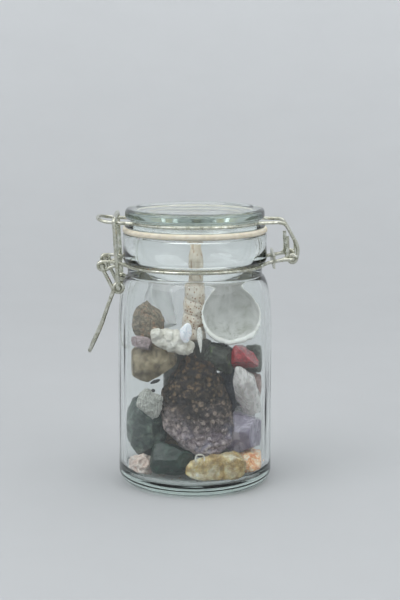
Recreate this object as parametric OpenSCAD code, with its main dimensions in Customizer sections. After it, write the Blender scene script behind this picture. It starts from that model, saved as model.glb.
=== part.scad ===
// Clip-top glass jar with a wire latch, holding a collection of stones and shells.
// Origin at the middle of the base, +Z up, latch towards -X, hinge towards +X, front towards -Y.

/* [Jar] */
// Outside radius of the straight wall
body_r = 38; // [37:0.5:40]
// Thickness of the glass wall
wall = 3; // [2.5:0.1:3.2]
// Radius of the rounded heel at the base
heel_r = 6.5; // [5:0.5:8]
// Thickness of the glass floor
floor_t = 5.5; // [4:0.5:6]
// Height where the shoulder starts to curve in
shoulder_z = 75; // [72:1:78]
// Height where the shoulder meets the neck
neck_z = 103.5; // [102:0.5:105]
// Outside radius of the groove for the neck wire
neck_r = 33; // [32.9:0.05:33.1]
// Outside radius of the collar
collar_r = 35.2; // [35:0.1:35.6]
// Underside of the collar
collar_z = 110.4; // [110.2:0.1:110.8]
// Height of the rim that the gasket rests on
rim_z = 124.3; // [124.2:0.1:124.4]
// Inside radius of the mouth
mouth_r = 29.8; // [29.5:0.1:30.2]

/* [Lid] */
// Outside radius of the raised rim of the lid
lid_r = 34.1; // [33.5:0.1:34.5]
// Height of the top of the lid
lid_top_z = 136.4; // [135:0.2:137]
// Radius at the bottom of the groove for the lid wire
waist_r = 31.6; // [31.4:0.1:31.7]
// Outside radius of the plug that reaches into the mouth
plug_r = 27.6; // [27:0.1:27.8]
// How far the plug reaches below the gasket
plug_drop = 2.6; // [1:0.2:3]
// Thickness of the rubber gasket
gasket_t = 2.8; // [2.6:0.1:2.8]

/* [Wires] */
// Radius of the wire round the lid and of the wire round the neck
thin_r = 0.85; // [0.8:0.05:0.9]
// Radius of the lever's wire
lever_r = 0.95; // [0.9:0.05:1]
// Radius of the pull loop's wire
loop_r = 1.05; // [1:0.05:1.1]
// Radial play between each pin and its eye
play = 0.08; // [0.05:0.01:0.1]

/* [Hidden] */

$fn = 64;
round_fn = 96;
wire_sides = 12;
overlap = 0.01;

// Pivots of the closure, in the XZ plane
hinge = [47.3, 112.4];
anchor = [-44.7, 109.5];
eye = [-36.9, 99.1];

// Pins are a little thicker than their wires
hinge_pin_r = thin_r + 0.05;
anchor_pin_r = lever_r + 0.05;
eye_pin_r = loop_r + 0.05;

// Centre-line radius of each eye
hook_ring_r = hinge_pin_r + play + thin_r;
anchor_ring_r = anchor_pin_r + play + thin_r;
eye_ring_r = eye_pin_r + play + lever_r;

// Places of the wires on each side of the middle
anchor_y = 12.8;
lever_y = 14.75;
leg_y = 16.9;
hook_y = 9.2;
arm_y = 12.4;
tongue_y = 12;

// Heights and radii of the two wire rings
neck_ring_z = 108.9;
neck_ring_r = neck_r + thin_r + 0.15;
lid_ring_z = 130;
lid_ring_r = waist_r + thin_r + 0.15;

// Levels of the lid
gasket_z = rim_z + 0.05;
flange_z = gasket_z + gasket_t + 0.02;
groove_low_z = lid_ring_z - 1.3;
groove_high_z = lid_ring_z + 1.4;
lid_hollow_z = 128.6;

// Inside of the jar: wall radius, radius of the corner above the floor, rise of the floor's middle
inner_r = body_r - wall;
inner_heel = 5;
floor_rise = 0.9;

function lerp(a, b, t) = a + (b - a) * t;
function unit(v) = v / norm(v);
function arc(cx, cy, r, a0, a1, n) =
  [for (i = [0:n]) let (a = lerp(a0, a1, i / n)) [cx + r * cos(a), cy + r * sin(a)]];

// A quarter-ellipse shoulder from radius r0 at height z0 in to radius r1 at height z1
function shoulder(r0, z0, r1, z1, n) =
  [for (i = [0:n]) let (a = 90 * i / n) [lerp(r1, r0, cos(a)), lerp(z0, z1, sin(a))]];

// Smooth curve through the points of a bent wire
function bend(p0, p1, p2, p3, t) =
  0.5 * (2 * p1 + (p2 - p0) * t + (2 * p0 - 5 * p1 + 4 * p2 - p3) * t * t
    + (3 * p1 - p0 - 3 * p2 + p3) * t * t * t);
function smooth(p, n) = concat(
  [for (i = [0:len(p) - 2], j = [0:n - 1])
    bend(p[max(i - 1, 0)], p[i], p[i + 1], p[min(i + 2, len(p) - 1)], j / n)],
  [p[len(p) - 1]]);
function mirror_y(p) = [for (i = [len(p) - 1:-1:0]) [p[i][0], -p[i][1], p[i][2]]];
function bow(r, a0, a1, z, n) =
  [for (i = [0:n]) let (a = lerp(a0, a1, i / n)) [r * cos(a), r * sin(a), z]];

// Directions along a path, and a side direction that turns with it without twisting
function headings(p) = [for (i = [0:len(p) - 1]) unit(p[min(i + 1, len(p) - 1)] - p[max(i - 1, 0)])];
function beside(n, t) = unit(n - (n * t) * t);
function sides_of(t, first) =
  [for (i = 0, n = beside(first, t[0]); i < len(t); i = i + 1, n = i < len(t) ? beside(n, t[i]) : n) n];

// A round wire along a path
module wire(path, r, first) {
  t = headings(path);
  n = sides_of(t, first);
  m = wire_sides;
  last = (len(path) - 1) * m;
  points = [for (i = [0:len(path) - 1], k = [0:m - 1])
    let (a = 360 * k / m) path[i] + r * (cos(a) * n[i] + sin(a) * cross(t[i], n[i]))];
  around = [for (i = [0:len(path) - 2], k = [0:m - 1])
    [i * m + k, (i + 1) * m + k, (i + 1) * m + (k + 1) % m, i * m + (k + 1) % m]];
  ends = [[for (k = [0:m - 1]) k], [for (k = [m - 1:-1:0]) last + k]];
  polyhedron(points, concat(around, ends));
}

// A ring round an axis along Y, at [x, z] and distance y from the middle
module eye_ring(at, y, ring_r, r) {
  translate([at[0], y, at[1]])
    rotate([90, 0, 0])
      rotate_extrude($fn = round_fn)
        translate([ring_r, 0])
          circle(r = r, $fn = 32);
}

// A pin along Y between two distances from the middle
module pin_y(at, y0, y1, r) {
  translate([at[0], y1, at[1]])
    rotate([90, 0, 0])
      cylinder(h = y1 - y0, r = r);
}

// ---- Jar and closure ----

module jar_body() {
  foot_in = body_r - 9;
  foot_out = body_r - heel_r;
  lip = 1.1;
  outside = concat(
    [[0, 1.3], [foot_in - 2, 1.3], [foot_in, 0]],
    arc(foot_out, heel_r, heel_r, -90, 0, 8),
    shoulder(body_r, shoulder_z, neck_r, neck_z, 12),
    [[neck_r, collar_z - 0.2]],
    arc(collar_r - 1.6, collar_z + 1.4, 1.6, -60, 0, 4),
    arc(collar_r - lip, rim_z - lip, lip, 0, 90, 4));
  curve_in = shoulder(inner_r, shoulder_z - 1, mouth_r, neck_z + 1, 12);
  inside = concat(
    arc(mouth_r + lip, rim_z - lip, lip, 90, 180, 3),
    [for (i = [12:-1:0]) curve_in[i]],
    arc(inner_r - inner_heel, floor_t + inner_heel, inner_heel, 0, -90, 8),
    [[0, floor_t + floor_rise]]);
  color("lightcyan", 0.4)
    rotate_extrude($fn = round_fn)
      polygon(concat(outside, inside));
}

module glass_lid() {
  soft = 1.2;
  outline = concat(
    [[0, lid_top_z - 1.4], [lid_r - 6.5, lid_top_z - 1.1], [lid_r - 5.2, lid_top_z - 0.2]],
    [[lid_r - 4.4, lid_top_z]],
    arc(lid_r - soft - 0.8, lid_top_z - soft - 0.8, soft + 0.8, 90, 0, 5),
    arc(lid_r - soft, groove_high_z + soft, soft, 0, -80, 4),
    [[waist_r + 0.4, groove_high_z], [waist_r, groove_high_z - 0.4]],
    [[waist_r, groove_low_z + 0.4], [waist_r + 0.4, groove_low_z]],
    [[lid_r - 0.2, groove_low_z - 0.1], [lid_r + 0.3, groove_low_z - 0.7], [lid_r + 0.1, flange_z]],
    [[plug_r, flange_z], [plug_r, gasket_z - plug_drop + 1], [plug_r - 1, gasket_z - plug_drop]],
    [[plug_r - 2.4, gasket_z - plug_drop], [plug_r - 3.6, lid_hollow_z - 0.8], [plug_r - 5, lid_hollow_z]],
    [[0, lid_hollow_z + 0.5]]);
  color("lightcyan", 0.5)
    rotate_extrude($fn = round_fn)
      polygon(outline);
}

module gasket() {
  outer = collar_r + 0.2;
  edge = 0.6;
  color("antiquewhite")
    rotate_extrude($fn = round_fn)
      polygon(concat(
        [[plug_r + 0.05, gasket_z], [outer - edge, gasket_z], [outer, gasket_z + edge]],
        [[outer, gasket_z + gasket_t - edge], [outer - edge, gasket_z + gasket_t]],
        [[plug_r + 0.05, gasket_z + gasket_t]]));
}

module lid_wire() {
  side = asin(tongue_y / lid_ring_r);
  arm_side = asin(hook_y / lid_ring_r);
  x_hook = hinge[0] + hook_ring_r;
  near_arm = smooth([
    [x_hook, -hook_y, hinge[1]],
    [x_hook + 0.7, -hook_y, hinge[1] + 3],
    [49.4, -hook_y, hinge[1] + 6.6],
    [47.2, -hook_y, hinge[1] + 10.8],
    [44.2, -hook_y, lid_ring_z - 1.6],
    [42, -hook_y, lid_ring_z - 0.2],
    [39.5, -hook_y, lid_ring_z]], 4);
  near_bow = bow(lid_ring_r, -arm_side - 5, -180 + side + 4, lid_ring_z, 22);
  near_tongue = smooth([
    [-33.6, -tongue_y - 0.25, lid_ring_z],
    [-38, -tongue_y, lid_ring_z + 0.2],
    [-42.5, -tongue_y + 0.6, lid_ring_z + 0.6],
    [-45.6, -tongue_y + 3, lid_ring_z + 1.2],
    [-47, -tongue_y + 6.6, lid_ring_z + 1.6],
    [-47.4, 0, lid_ring_z + 1.8]], 4);
  near = concat(near_arm, near_bow, near_tongue);
  far = mirror_y([for (i = [0:len(near) - 2]) near[i]]);
  color("palegoldenrod") {
    wire(concat(near, far), thin_r, [0, 1, 0]);
    for (s = [-1, 1])
      eye_ring(hinge, s * hook_y, hook_ring_r, thin_r + 0.02);
  }
}

module neck_wire() {
  post_z = 123.6;
  eye_top = anchor[1] + anchor_ring_r;
  eye_low = anchor[1] - anchor_ring_r;
  color("palegoldenrod") {
    translate([0, 0, neck_ring_z])
      rotate_extrude($fn = round_fn)
        translate([neck_ring_r, 0])
          circle(r = thin_r, $fn = 32);
    for (s = [-1, 1]) {
      wire(smooth([
        [-31.2, s * (anchor_y + 0.3), neck_ring_z + 0.1],
        [-34, s * anchor_y, neck_ring_z + 1],
        [-37.5, s * anchor_y, eye_top - 0.4],
        [-41, s * anchor_y, eye_top],
        [anchor[0], s * anchor_y, eye_top]], 4), thin_r, [0, 1, 0]);
      wire(smooth([
        [anchor[0], s * anchor_y, eye_low],
        [-42.6, s * anchor_y, eye_low + 0.2],
        [-39.6, s * anchor_y, eye_low + 1.6],
        [-36.4, s * anchor_y, eye_top - 0.9]], 4), thin_r, [0, 1, 0]);
      eye_ring(anchor, s * anchor_y, anchor_ring_r, thin_r + 0.02);
      wire(smooth([
        [31.6, s * (arm_y - 0.2), neck_ring_z + 0.3],
        [34.6, s * arm_y, neck_ring_z + 1.6],
        [38, s * arm_y, hinge[1] - 1],
        [43, s * arm_y, hinge[1] - 0.2],
        [hinge[0] - 1.6, s * arm_y, hinge[1]],
        [hinge[0] - 0.3, s * (arm_y - 0.6), hinge[1]],
        [hinge[0], s * (arm_y - 1.9), hinge[1]]], 4), thin_r, [0, 0, 1]);
      wire(smooth([
        [40.4, s * (arm_y - 0.9), hinge[1] - 0.6],
        [43, s * (arm_y - 1.2), hinge[1] + 0.1],
        [44.5, s * (arm_y - 1.3), hinge[1] + 1.6],
        [44.8, s * (arm_y - 1.3), hinge[1] + 4],
        [44.5, s * (arm_y - 1.3), post_z]], 4), thin_r, [0, 1, 0]);
    }
    pin_y(hinge, 1.1 - arm_y, arm_y - 1.1, hinge_pin_r);
  }
}

module band_clip() {
  clip_x = 38.2;
  clip_w = 2 * arm_y + 4.4;
  clip_h = 6.4;
  clip_t = 1;
  hole_r = thin_r + 0.12;
  arm_z = hinge[1] - 0.95;
  color("tan")
    difference() {
      translate([clip_x - clip_t / 2, -clip_w / 2, arm_z - clip_h / 2])
        cube([clip_t, clip_w, clip_h]);
      for (s = [-1, 1])
        translate([clip_x, s * arm_y, arm_z])
          rotate([0, 90, 0])
            cylinder(h = clip_t * 3, r = hole_r, center = true);
    }
}

module lever() {
  near = smooth([
    [anchor[0], 0.2 - lever_y, anchor[1]],
    [anchor[0] + 0.5, -lever_y, anchor[1] - 1.4],
    [-42.5, -lever_y, 104.6],
    [-40.3, -lever_y, 100.2],
    [-39.4, -lever_y, 97.4],
    [-40.4, -lever_y, 94.6],
    [-42, -lever_y + 0.2, 90.4],
    [-43.7, -lever_y + 0.8, 85.4],
    [-45.5, -lever_y + 1.6, 80.2],
    [-47.8, -lever_y + 2.6, 75],
    [-50.1, -lever_y + 4.2, 70],
    [-51.4, -lever_y + 7, 67.2],
    [-51.9, -4, 66.1],
    [-52, 0, 65.9]], 3);
  far = mirror_y([for (i = [0:len(near) - 2]) near[i]]);
  color("palegoldenrod") {
    wire(concat(near, far), lever_r, [0, 1, 0]);
    for (s = [-1, 1]) {
      eye_ring(eye, s * lever_y, eye_ring_r, lever_r + 0.02);
      pin_y(anchor, s > 0 ? 11.4 : -lever_y - 0.6, s > 0 ? lever_y + 0.6 : -11.4, anchor_pin_r);
    }
  }
}

module pull_loop() {
  top = [-38.6, lid_ring_z + 0.2 + thin_r + loop_r + 0.5];
  corner = 2.4;
  near = smooth([
    [eye[0], 0.3 - leg_y, eye[1]],
    [eye[0] - 0.05, -leg_y, eye[1] + 1.3],
    [eye[0] - 0.3, -leg_y, eye[1] + 8],
    [eye[0] - 1, -leg_y + 0.2, eye[1] + 20],
    [top[0] + 0.1, -leg_y + 0.4, top[1] - corner],
    [top[0], -leg_y + 1.1, top[1] - 0.7],
    [top[0], -leg_y + corner + 0.4, top[1]],
    [top[0], 0, top[1]]], 4);
  far = mirror_y([for (i = [0:len(near) - 2]) near[i]]);
  color("palegoldenrod") {
    wire(concat(near, far), loop_r, [1, 0, 0]);
    for (s = [-1, 1])
      pin_y(eye, s > 0 ? 13.2 : -leg_y - 0.5, s > 0 ? leg_y + 0.5 : -13.2, eye_pin_r);
  }
}

// ---- Contents ----

// Every loose stone: name, middle, turn, half-sizes, roundness (1 round, below 1 boxier), unevenness,
// width of its top compared with its foot, and variety
STONES = [
  ["druzy_stone", [0, -13, 40.6], [0, 0, 0], [25, 15, 35], 0.9, 0.05, 0.5, 1],
  ["calcite_chunk", [9, -24.5, 12.6], [0, -9, 8], [14.6, 7, 6.6], 0.6, 0.08, 1, 2],
  ["agate_chunk", [27, -10, 12], [0, 0, 55], [8, 7.4, 6.6], 0.8, 0.1, 1, 3],
  ["amethyst", [25, -8.5, 27.5], [0, 5, 0], [12.5, 11.5, 14], 0.75, 0.08, 1, 4],
  ["slate_stone", [17, -0.5, 45], [0, 6, 0], [8, 7.5, 14], 0.8, 0.08, 0.9, 5],
  ["moss_stone", [12.5, -8, 63.5], [0, 0, 0], [8.6, 9, 10], 0.8, 0.1, 1, 6],
  ["red_jasper", [23.6, -13, 65], [0, 0, 0], [8, 7, 7.6], 0.8, 0.1, 0.5, 7],
  ["grey_stone", [29, 0, 61.5], [0, 0, 0], [5.4, 8, 7.2], 0.85, 0.08, 1, 8],
  ["pink_stone", [25, 4, 46.5], [0, 0, 15], [9.5, 9, 9.5], 0.85, 0.1, 1, 21],
  ["white_coral", [-11, -23, 74.8], [0, 22, 0], [12, 6.6, 6.8], 0.9, 0.16, 1, 9],
  ["brown_stone", [-22.6, -9.5, 81], [0, -8, 0], [8, 9.5, 10.6], 0.75, 0.12, 0.7, 10],
  ["lilac_chip", [-24.4, -19.5, 73.2], [0, 20, 0], [5.4, 4, 3], 0.8, 0.1, 1, 11],
  ["banded_stone", [-19.5, -12, 63], [0, 0, 0], [11, 11.5, 10.2], 0.7, 0.06, 0.95, 12],
  ["green_slab", [-23.4, -8.6, 29.6], [0, 12, 10], [12, 10.5, 16], 0.75, 0.08, 0.8, 13],
  ["bottle_green_stone", [-10.4, -17.4, 15.4], [0, 0, -10], [12.4, 10, 9], 0.8, 0.1, 1, 14],
  ["selenite", [-20.8, -19, 43.2], [0, 12, 0], [6.6, 4.8, 7.6], 0.8, 0.06, 0.9, 15],
  ["rose_shell", [-25.6, -16.6, 11.4], [0, 0, 0], [6.4, 6, 5.8], 1, 0.1, 1, 16],
  ["clear_chunk", [-15.4, 9.5, 85.6], [0, 0, 0], [10.6, 9, 10.6], 0.75, 0.06, 0.95, 17],
  ["back_tan_stone", [-12, 18, 20.5], [0, 0, 20], [16.5, 13.5, 14.8], 0.85, 0.08, 1, 18],
  ["back_grey_stone", [17.5, 15, 22], [0, 0, -20], [14.5, 13.5, 16.5], 0.85, 0.08, 1, 19],
  ["back_green_stone", [-3, 17, 53], [0, 0, 0], [16, 14, 18], 0.85, 0.08, 0.9, 20]];
// The shells and the quartz point, as upright or turned drums that the stones lie against:
// middle, turn, radius and half-length
FIRM = [
  [[-0.1, 2.4, 94.6], [0, 1.5, 0], 6.9, 25.2],
  [[17.4, -9, 84.5], [0, 0, 0], 12.2, 12.2],
  [[24.9, -14.4, 49], [0, 0, 0], 5.4, 5.4],
  [[27, -10.8, 42], [0, 0, 0], 5.6, 5.6],
  [[22.7, -17.9, 56], [0, 0, 0], 4.4, 4.4]];
stone_gap = 0.3;
glass_gap = 0.5;

function power(v, e) = sign(v) * pow(abs(v), e);
function ripple(lat, lon, seed) =
  (sin(2 * lon + 47 * seed) * cos(lat) + sin(3 * lon + 113 * seed) * cos(lat) * sin(2 * lat + 31 * seed)
    + sin(3 * lat + 71 * seed) * cos(lat)) / 3;

// A direction or a point, turned about X, then Y, then Z
function turned(v, t) =
  let (a = [v[0], v[1] * cos(t[0]) - v[2] * sin(t[0]), v[1] * sin(t[0]) + v[2] * cos(t[0])],
    b = [a[0] * cos(t[1]) + a[2] * sin(t[1]), a[1], a[2] * cos(t[1]) - a[0] * sin(t[1])])
  [b[0] * cos(t[2]) - b[1] * sin(t[2]), b[0] * sin(t[2]) + b[1] * cos(t[2]), b[2]];

// How far a stone reaches from its middle in a direction, and the same for a drum
function reach(half, turn, n) =
  norm([for (i = [0:2]) half[i] * (turned([for (k = [0:2]) k == i ? 1 : 0], turn) * n)]);
function drum_reach(r, h, turn, n) =
  let (up = abs(turned([0, 0, 1], turn) * n)) r * sqrt(max(0, 1 - up * up)) + h * up;

// The flats where a stone lies against the others: outward direction, and distance from its middle
function flats(me) = concat(
  [for (other = STONES)
    if (other[0] != me[0])
      let (away = other[1] - me[1], n = away / norm(away), mine = reach(me[3], me[2], n),
        theirs = reach(other[3], other[2], n))
        [n, norm(away) * mine / (mine + theirs) - stone_gap / 2]],
  [for (drum = FIRM)
    let (away = drum[0] - me[1], n = away / norm(away))
      [n, norm(away) - drum_reach(drum[2], drum[3], drum[1], n) - stone_gap]]);
function press(p, at, sides, i = 0) =
  i == len(sides) ? p
  : press(p - sides[i][0] * max(0, (p - at) * sides[i][0] - sides[i][1]), at, sides, i + 1);

// How far from the axis the glass lets a stone reach at a height, and a point kept inside that
function room(z) =
  (z > shoulder_z - 1
    ? mouth_r + (inner_r - mouth_r) * sqrt(max(0, 1 - pow((z - shoulder_z + 1) / (neck_z + 2 - shoulder_z), 2)))
    : z < floor_t + inner_heel ? inner_r - inner_heel + sqrt(max(0, inner_heel * inner_heel
        - pow(floor_t + inner_heel - z, 2)))
    : inner_r) - glass_gap;
function within(p) =
  let (foot_r = inner_r - inner_heel, out = norm([p[0], p[1]]), z = max(p[2], floor_t + glass_gap + floor_rise * max(0, 1 - out / foot_r)),
    k = min(1, room(z) / max(out, 1)))
  [p[0] * k, p[1] * k, z];
function settled(p, at, sides, passes) =
  passes == 0 ? p : settled(within(press(p, at, sides)), at, sides, passes - 1);

// One loose stone: a closed lump with flats against its neighbours
module stone(name) {
  rings = 9;
  m = 14;
  me = STONES[search([name], STONES)[0]];
  at = me[1];
  half = me[3];
  sides = flats(me);
  loose = concat(
    [[0, 0, -half[2]]],
    [for (i = [1:rings], k = [0:m - 1])
      let (lat = -90 + 180 * i / (rings + 1), lon = 360 * k / m, g = (1 + me[5] * ripple(lat, lon, me[7]))
          * lerp(1, me[6], (1 + sin(lat)) / 2))
        [half[0] * g * power(cos(lat), me[4]) * power(cos(lon), me[4]),
          half[1] * g * power(cos(lat), me[4]) * power(sin(lon), me[4]),
          half[2] * power(sin(lat), me[4])]],
    [[0, 0, half[2]]]);
  points = [for (p = loose) settled(at + turned(p, me[2]), at, sides, 4)];
  top = rings * m + 1;
  low = [for (k = [0:m - 1]) [0, 1 + k, 1 + (k + 1) % m]];
  mid = [for (i = [0:rings - 2], k = [0:m - 1], half_face = [0, 1])
    let (a = 1 + i * m + k, b = 1 + i * m + (k + 1) % m)
      half_face == 0 ? [a, a + m, b + m] : [a, b + m, b]];
  high = [for (k = [0:m - 1]) [top, top - m + (k + 1) % m, top - m + k]];
  polyhedron(points, concat(low, mid, high));
}

module druzy_stone() { color("rosybrown") stone("druzy_stone"); }
module calcite_chunk() { color("khaki") stone("calcite_chunk"); }
module agate_chunk() { color("sandybrown") stone("agate_chunk"); }
module amethyst() { color("plum") stone("amethyst"); }
module slate_stone() { color("slategray") stone("slate_stone"); }
module moss_stone() { color("darkslategray") stone("moss_stone"); }
module red_jasper() { color("firebrick") stone("red_jasper"); }
module grey_stone() { color("darkolivegreen") stone("grey_stone"); }
module pink_stone() { color("rosybrown") stone("pink_stone"); }
module white_coral() { color("white") stone("white_coral"); }
module brown_stone() { color("rosybrown") stone("brown_stone"); }
module lilac_chip() { color("thistle") stone("lilac_chip"); }
module banded_stone() { color("olivedrab") stone("banded_stone"); }
module green_slab() { color("darkseagreen") stone("green_slab"); }
module bottle_green_stone() { color("seagreen") stone("bottle_green_stone"); }
module selenite() { color("whitesmoke") stone("selenite"); }
module rose_shell() { color("mistyrose") stone("rose_shell"); }
module clear_chunk() { color("gainsboro", 0.7) stone("clear_chunk"); }
module back_tan_stone() { color("tan") stone("back_tan_stone"); }
module back_grey_stone() { color("gray") stone("back_grey_stone"); }
module back_green_stone() { color("darkslategray") stone("back_green_stone"); }

module quartz_point() {
  hex = 5;
  tip = 7;
  long = 26;
  color("white", 0.7)
    translate([28, -9, 37.5])
      rotate([0, -25.5, 53])
        rotate([0, 0, 20])
          union() {
            cylinder(h = long - tip, r = hex, $fn = 6);
            translate([0, 0, long - tip - overlap])
              cylinder(h = tip, r1 = hex, r2 = 1, $fn = 6);
          }
}

module auger_shell() {
  whorls = 7;
  base_r = 6.6;
  tip_r = 4.1;
  long = 48;
  outline = concat(
    [[0, 0]],
    [for (i = [0:whorls - 1], k = [0:4])
      let (t = (i + k / 5) / whorls, r = lerp(base_r, tip_r, t))
        [r * (0.9 + 0.1 * sin(36 * k)), long * pow(t, 0.9) + 0.4]],
    [[tip_r * 0.6, long + 0.3], [0, long + 0.8]]);
  color("burlywood")
    translate([-0.7, 2.4, 70])
      rotate([0, 1.5, 0])
        rotate_extrude($fn = 48)
          polygon(outline);
}

module cup_shell() {
  rim_r = 14.4;
  deep = 15;
  thick = 2;
  outer = [for (i = [0:10]) let (a = 9 * i) [rim_r * cos(a), -deep * sin(a)]];
  inner = [for (i = [10:-1:0]) let (a = 9 * i) [(rim_r - thick) * cos(a), -(deep - thick) * sin(a)]];
  color("ivory")
    translate([17.4, -9, 84.5])
      rotate([66, 0, 0])
        rotate_extrude($fn = 72)
          polygon(concat(outer, inner));
}

jar_body();
glass_lid();
gasket();
lid_wire();
neck_wire();
band_clip();
lever();
pull_loop();
druzy_stone();
calcite_chunk();
agate_chunk();
amethyst();
quartz_point();
slate_stone();
moss_stone();
red_jasper();
grey_stone();
pink_stone();
white_coral();
auger_shell();
cup_shell();
brown_stone();
lilac_chip();
banded_stone();
green_slab();
bottle_green_stone();
selenite();
rose_shell();
clear_chunk();
back_tan_stone();
back_grey_stone();
back_green_stone();
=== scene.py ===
"""A clip-top glass jar of stones and shells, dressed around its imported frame. Run as a script."""
import math
import random

import bmesh
import bpy
from bpy.props import FloatProperty, FloatVectorProperty, IntProperty, PointerProperty
from mathutils import Matrix, Vector, noise


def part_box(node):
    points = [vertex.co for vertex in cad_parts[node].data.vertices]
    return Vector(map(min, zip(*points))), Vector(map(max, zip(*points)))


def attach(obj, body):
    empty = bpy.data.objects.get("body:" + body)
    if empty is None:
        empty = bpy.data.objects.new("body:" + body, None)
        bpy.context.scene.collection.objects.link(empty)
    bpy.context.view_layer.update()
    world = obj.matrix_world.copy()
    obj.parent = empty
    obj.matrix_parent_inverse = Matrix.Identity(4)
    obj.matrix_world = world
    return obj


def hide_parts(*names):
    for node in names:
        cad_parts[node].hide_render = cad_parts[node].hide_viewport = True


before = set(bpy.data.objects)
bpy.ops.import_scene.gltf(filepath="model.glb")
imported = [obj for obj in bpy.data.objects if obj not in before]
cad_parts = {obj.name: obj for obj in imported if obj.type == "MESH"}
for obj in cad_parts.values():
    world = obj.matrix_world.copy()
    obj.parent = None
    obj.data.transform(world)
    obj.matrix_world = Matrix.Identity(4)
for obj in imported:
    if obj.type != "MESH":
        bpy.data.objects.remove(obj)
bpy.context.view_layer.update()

bl_info = {
    "name": "Clip-top jar of stones",
    "version": (1, 0, 0),
    "blender": (4, 5, 0),
    "location": "View3D > Sidebar > Jar",
    "description": "Glass jar, wire closure, stones, crystals and shells around a packed frame",
    "category": "Add Mesh",
}

MM = 0.001                    # sizes below are in millimetres
JAR_HIGH = Vector(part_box("jar_body")[1]) / MM
BODY_R = JAR_HIGH.x
RIM_Z = JAR_HIGH.z
LID_LOW, LID_HIGH = (Vector(c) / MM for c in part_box("glass_lid"))
GASKET_LOW, GASKET_HIGH = (Vector(c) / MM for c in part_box("gasket"))
WELD_GAP = 0.01 * MM          # points closer than this are one point
LID_RIM = LID_HIGH.x - 0.3    # radius of the lid above its waist
FLOOR_CORNER = 5.0            # radius of the corner round the jar's floor
KNOB = 2.3                    # spacing of the knobs on the big stone


# ---------------------------------------------------------------- settings

class JarGlass(bpy.types.PropertyGroup):
    wall: FloatProperty(name="Wall", description="Thickness of the jar's wall",
                        default=3.0 * MM, unit="LENGTH")
    ripple: FloatProperty(name="Ripple", description="How far the pressed glass waves in and out",
                          default=0.16 * MM, unit="LENGTH")
    tint: FloatVectorProperty(name="Tint", description="Colour that thick glass takes on", subtype="COLOR",
                              default=(0.74, 0.81, 0.78))
    depth: FloatProperty(name="Tint depth", description="How quickly the tint builds up, per metre",
                         default=30.0)


class JarWire(bpy.types.PropertyGroup):
    zinc: FloatVectorProperty(name="Zinc", description="Colour of the galvanised wire", subtype="COLOR",
                              default=(0.50, 0.50, 0.41))
    roughness: FloatProperty(name="Roughness", description="Roughness of clean zinc",
                             default=0.2, subtype="FACTOR")


class JarContents(bpy.types.PropertyGroup):
    detail: IntProperty(name="Detail", description="Subdivision of each stone", default=4, min=2, max=5)
    grit: IntProperty(name="Grit", description="Loose crumbs on the floor of the jar", default=90)


class JarStage(bpy.types.PropertyGroup):
    distance: FloatProperty(name="Distance", description="Camera to jar axis", default=0.70, unit="LENGTH")
    camera_z: FloatProperty(name="Camera height", description="Height of the camera",
                            default=0.209, unit="LENGTH")
    aim_x: FloatProperty(name="Aim across", description="Where the camera aims, left to right",
                         default=0.0025, unit="LENGTH")
    aim_z: FloatProperty(name="Aim height", description="Where the camera aims, above the floor",
                         default=0.0906, unit="LENGTH")
    lens: FloatProperty(name="Lens", description="Focal length", default=86.4, unit="CAMERA")
    # floor and wall: one paper, painted darker on the floor than up the wall, painted shade that evens out
    # the stronger light on the floor.
    floor: FloatVectorProperty(name="Floor", description="Colour of the paper on the floor", subtype="COLOR",
                               default=(0.452, 0.463, 0.470))
    wall: FloatVectorProperty(name="Wall", description="Colour of the paper high on the wall",
                              subtype="COLOR", default=(0.705, 0.722, 0.735))


SETTINGS = {"jar_glass": JarGlass, "jar_wire": JarWire, "jar_contents": JarContents, "jar_stage": JarStage}


# ---------------------------------------------------------------- meshes

def lerp(a, b, t):
    """The number a share t of the way from a to b."""
    return a + (b - a) * t


def ease(t):
    """A smooth rise from 0 to 1."""
    t = min(max(t, 0.0), 1.0)
    return t * t * (3 - 2 * t)


def arc(cx, cz, r, start, end, steps):
    """Points of a round stretch of an outline, from one angle to another, in degrees."""
    angles = [math.radians(lerp(start, end, i / steps)) for i in range(steps + 1)]
    return [(cx + r * math.cos(a), cz + r * math.sin(a)) for a in angles]


def shoulder(r0, z0, r1, z1, steps):
    """A quarter ellipse from radius r0 at height z0 in to radius r1 at height z1."""
    angles = [math.radians(90 * i / steps) for i in range(steps + 1)]
    return [(lerp(r1, r0, math.cos(a)), lerp(z0, z1, math.sin(a))) for a in angles]


def straight(a, b, steps):
    """Points between two points of an outline, the ends left out."""
    return [(lerp(a[0], b[0], i / steps), lerp(a[1], b[1], i / steps)) for i in range(1, steps)]


def lathe(outline, turns, wave=None):
    """Turns an outline of (radius, height) pairs about Z. wave(radius, angle, height) may move a point."""
    verts, rows = [], []
    for r, z in outline:
        if r < 1e-6:
            rows.append([len(verts)] * turns)
            verts.append(Vector((0, 0, z)))
            continue
        rows.append(list(range(len(verts), len(verts) + turns)))
        for k in range(turns):
            a = 2 * math.pi * k / turns
            q = wave(r, a, z) if wave else r
            verts.append(Vector((q * math.cos(a), q * math.sin(a), z)))
    faces = []
    loops = list(zip(rows, rows[1:] + ([rows[0]] if outline[0][0] > 1e-6 else [])))
    for low, high in loops:
        for k in range(turns):
            j = (k + 1) % turns
            quad = [low[k], low[j], high[j], high[k]]
            quad = [c for i, c in enumerate(quad) if c != quad[i - 1]]
            if len(quad) > 2:
                faces.append(quad)
    return verts, faces


def make_piece(name, verts, faces, body, slot_name, *nodes, look):
    """A mesh in millimetres becomes a named piece that rides on a body and stands for CAD nodes."""
    mesh = bpy.data.meshes.new(name)
    mesh.from_pydata([tuple(v * MM) for v in verts], [], faces)
    bm = bmesh.new()
    bm.from_mesh(mesh)
    bmesh.ops.recalc_face_normals(bm, faces=bm.faces)
    bm.to_mesh(mesh)
    bm.free()
    mesh.validate()
    mesh.shade_smooth()
    return adopt(mesh, name, body, slot_name, *nodes, look=look)


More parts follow.
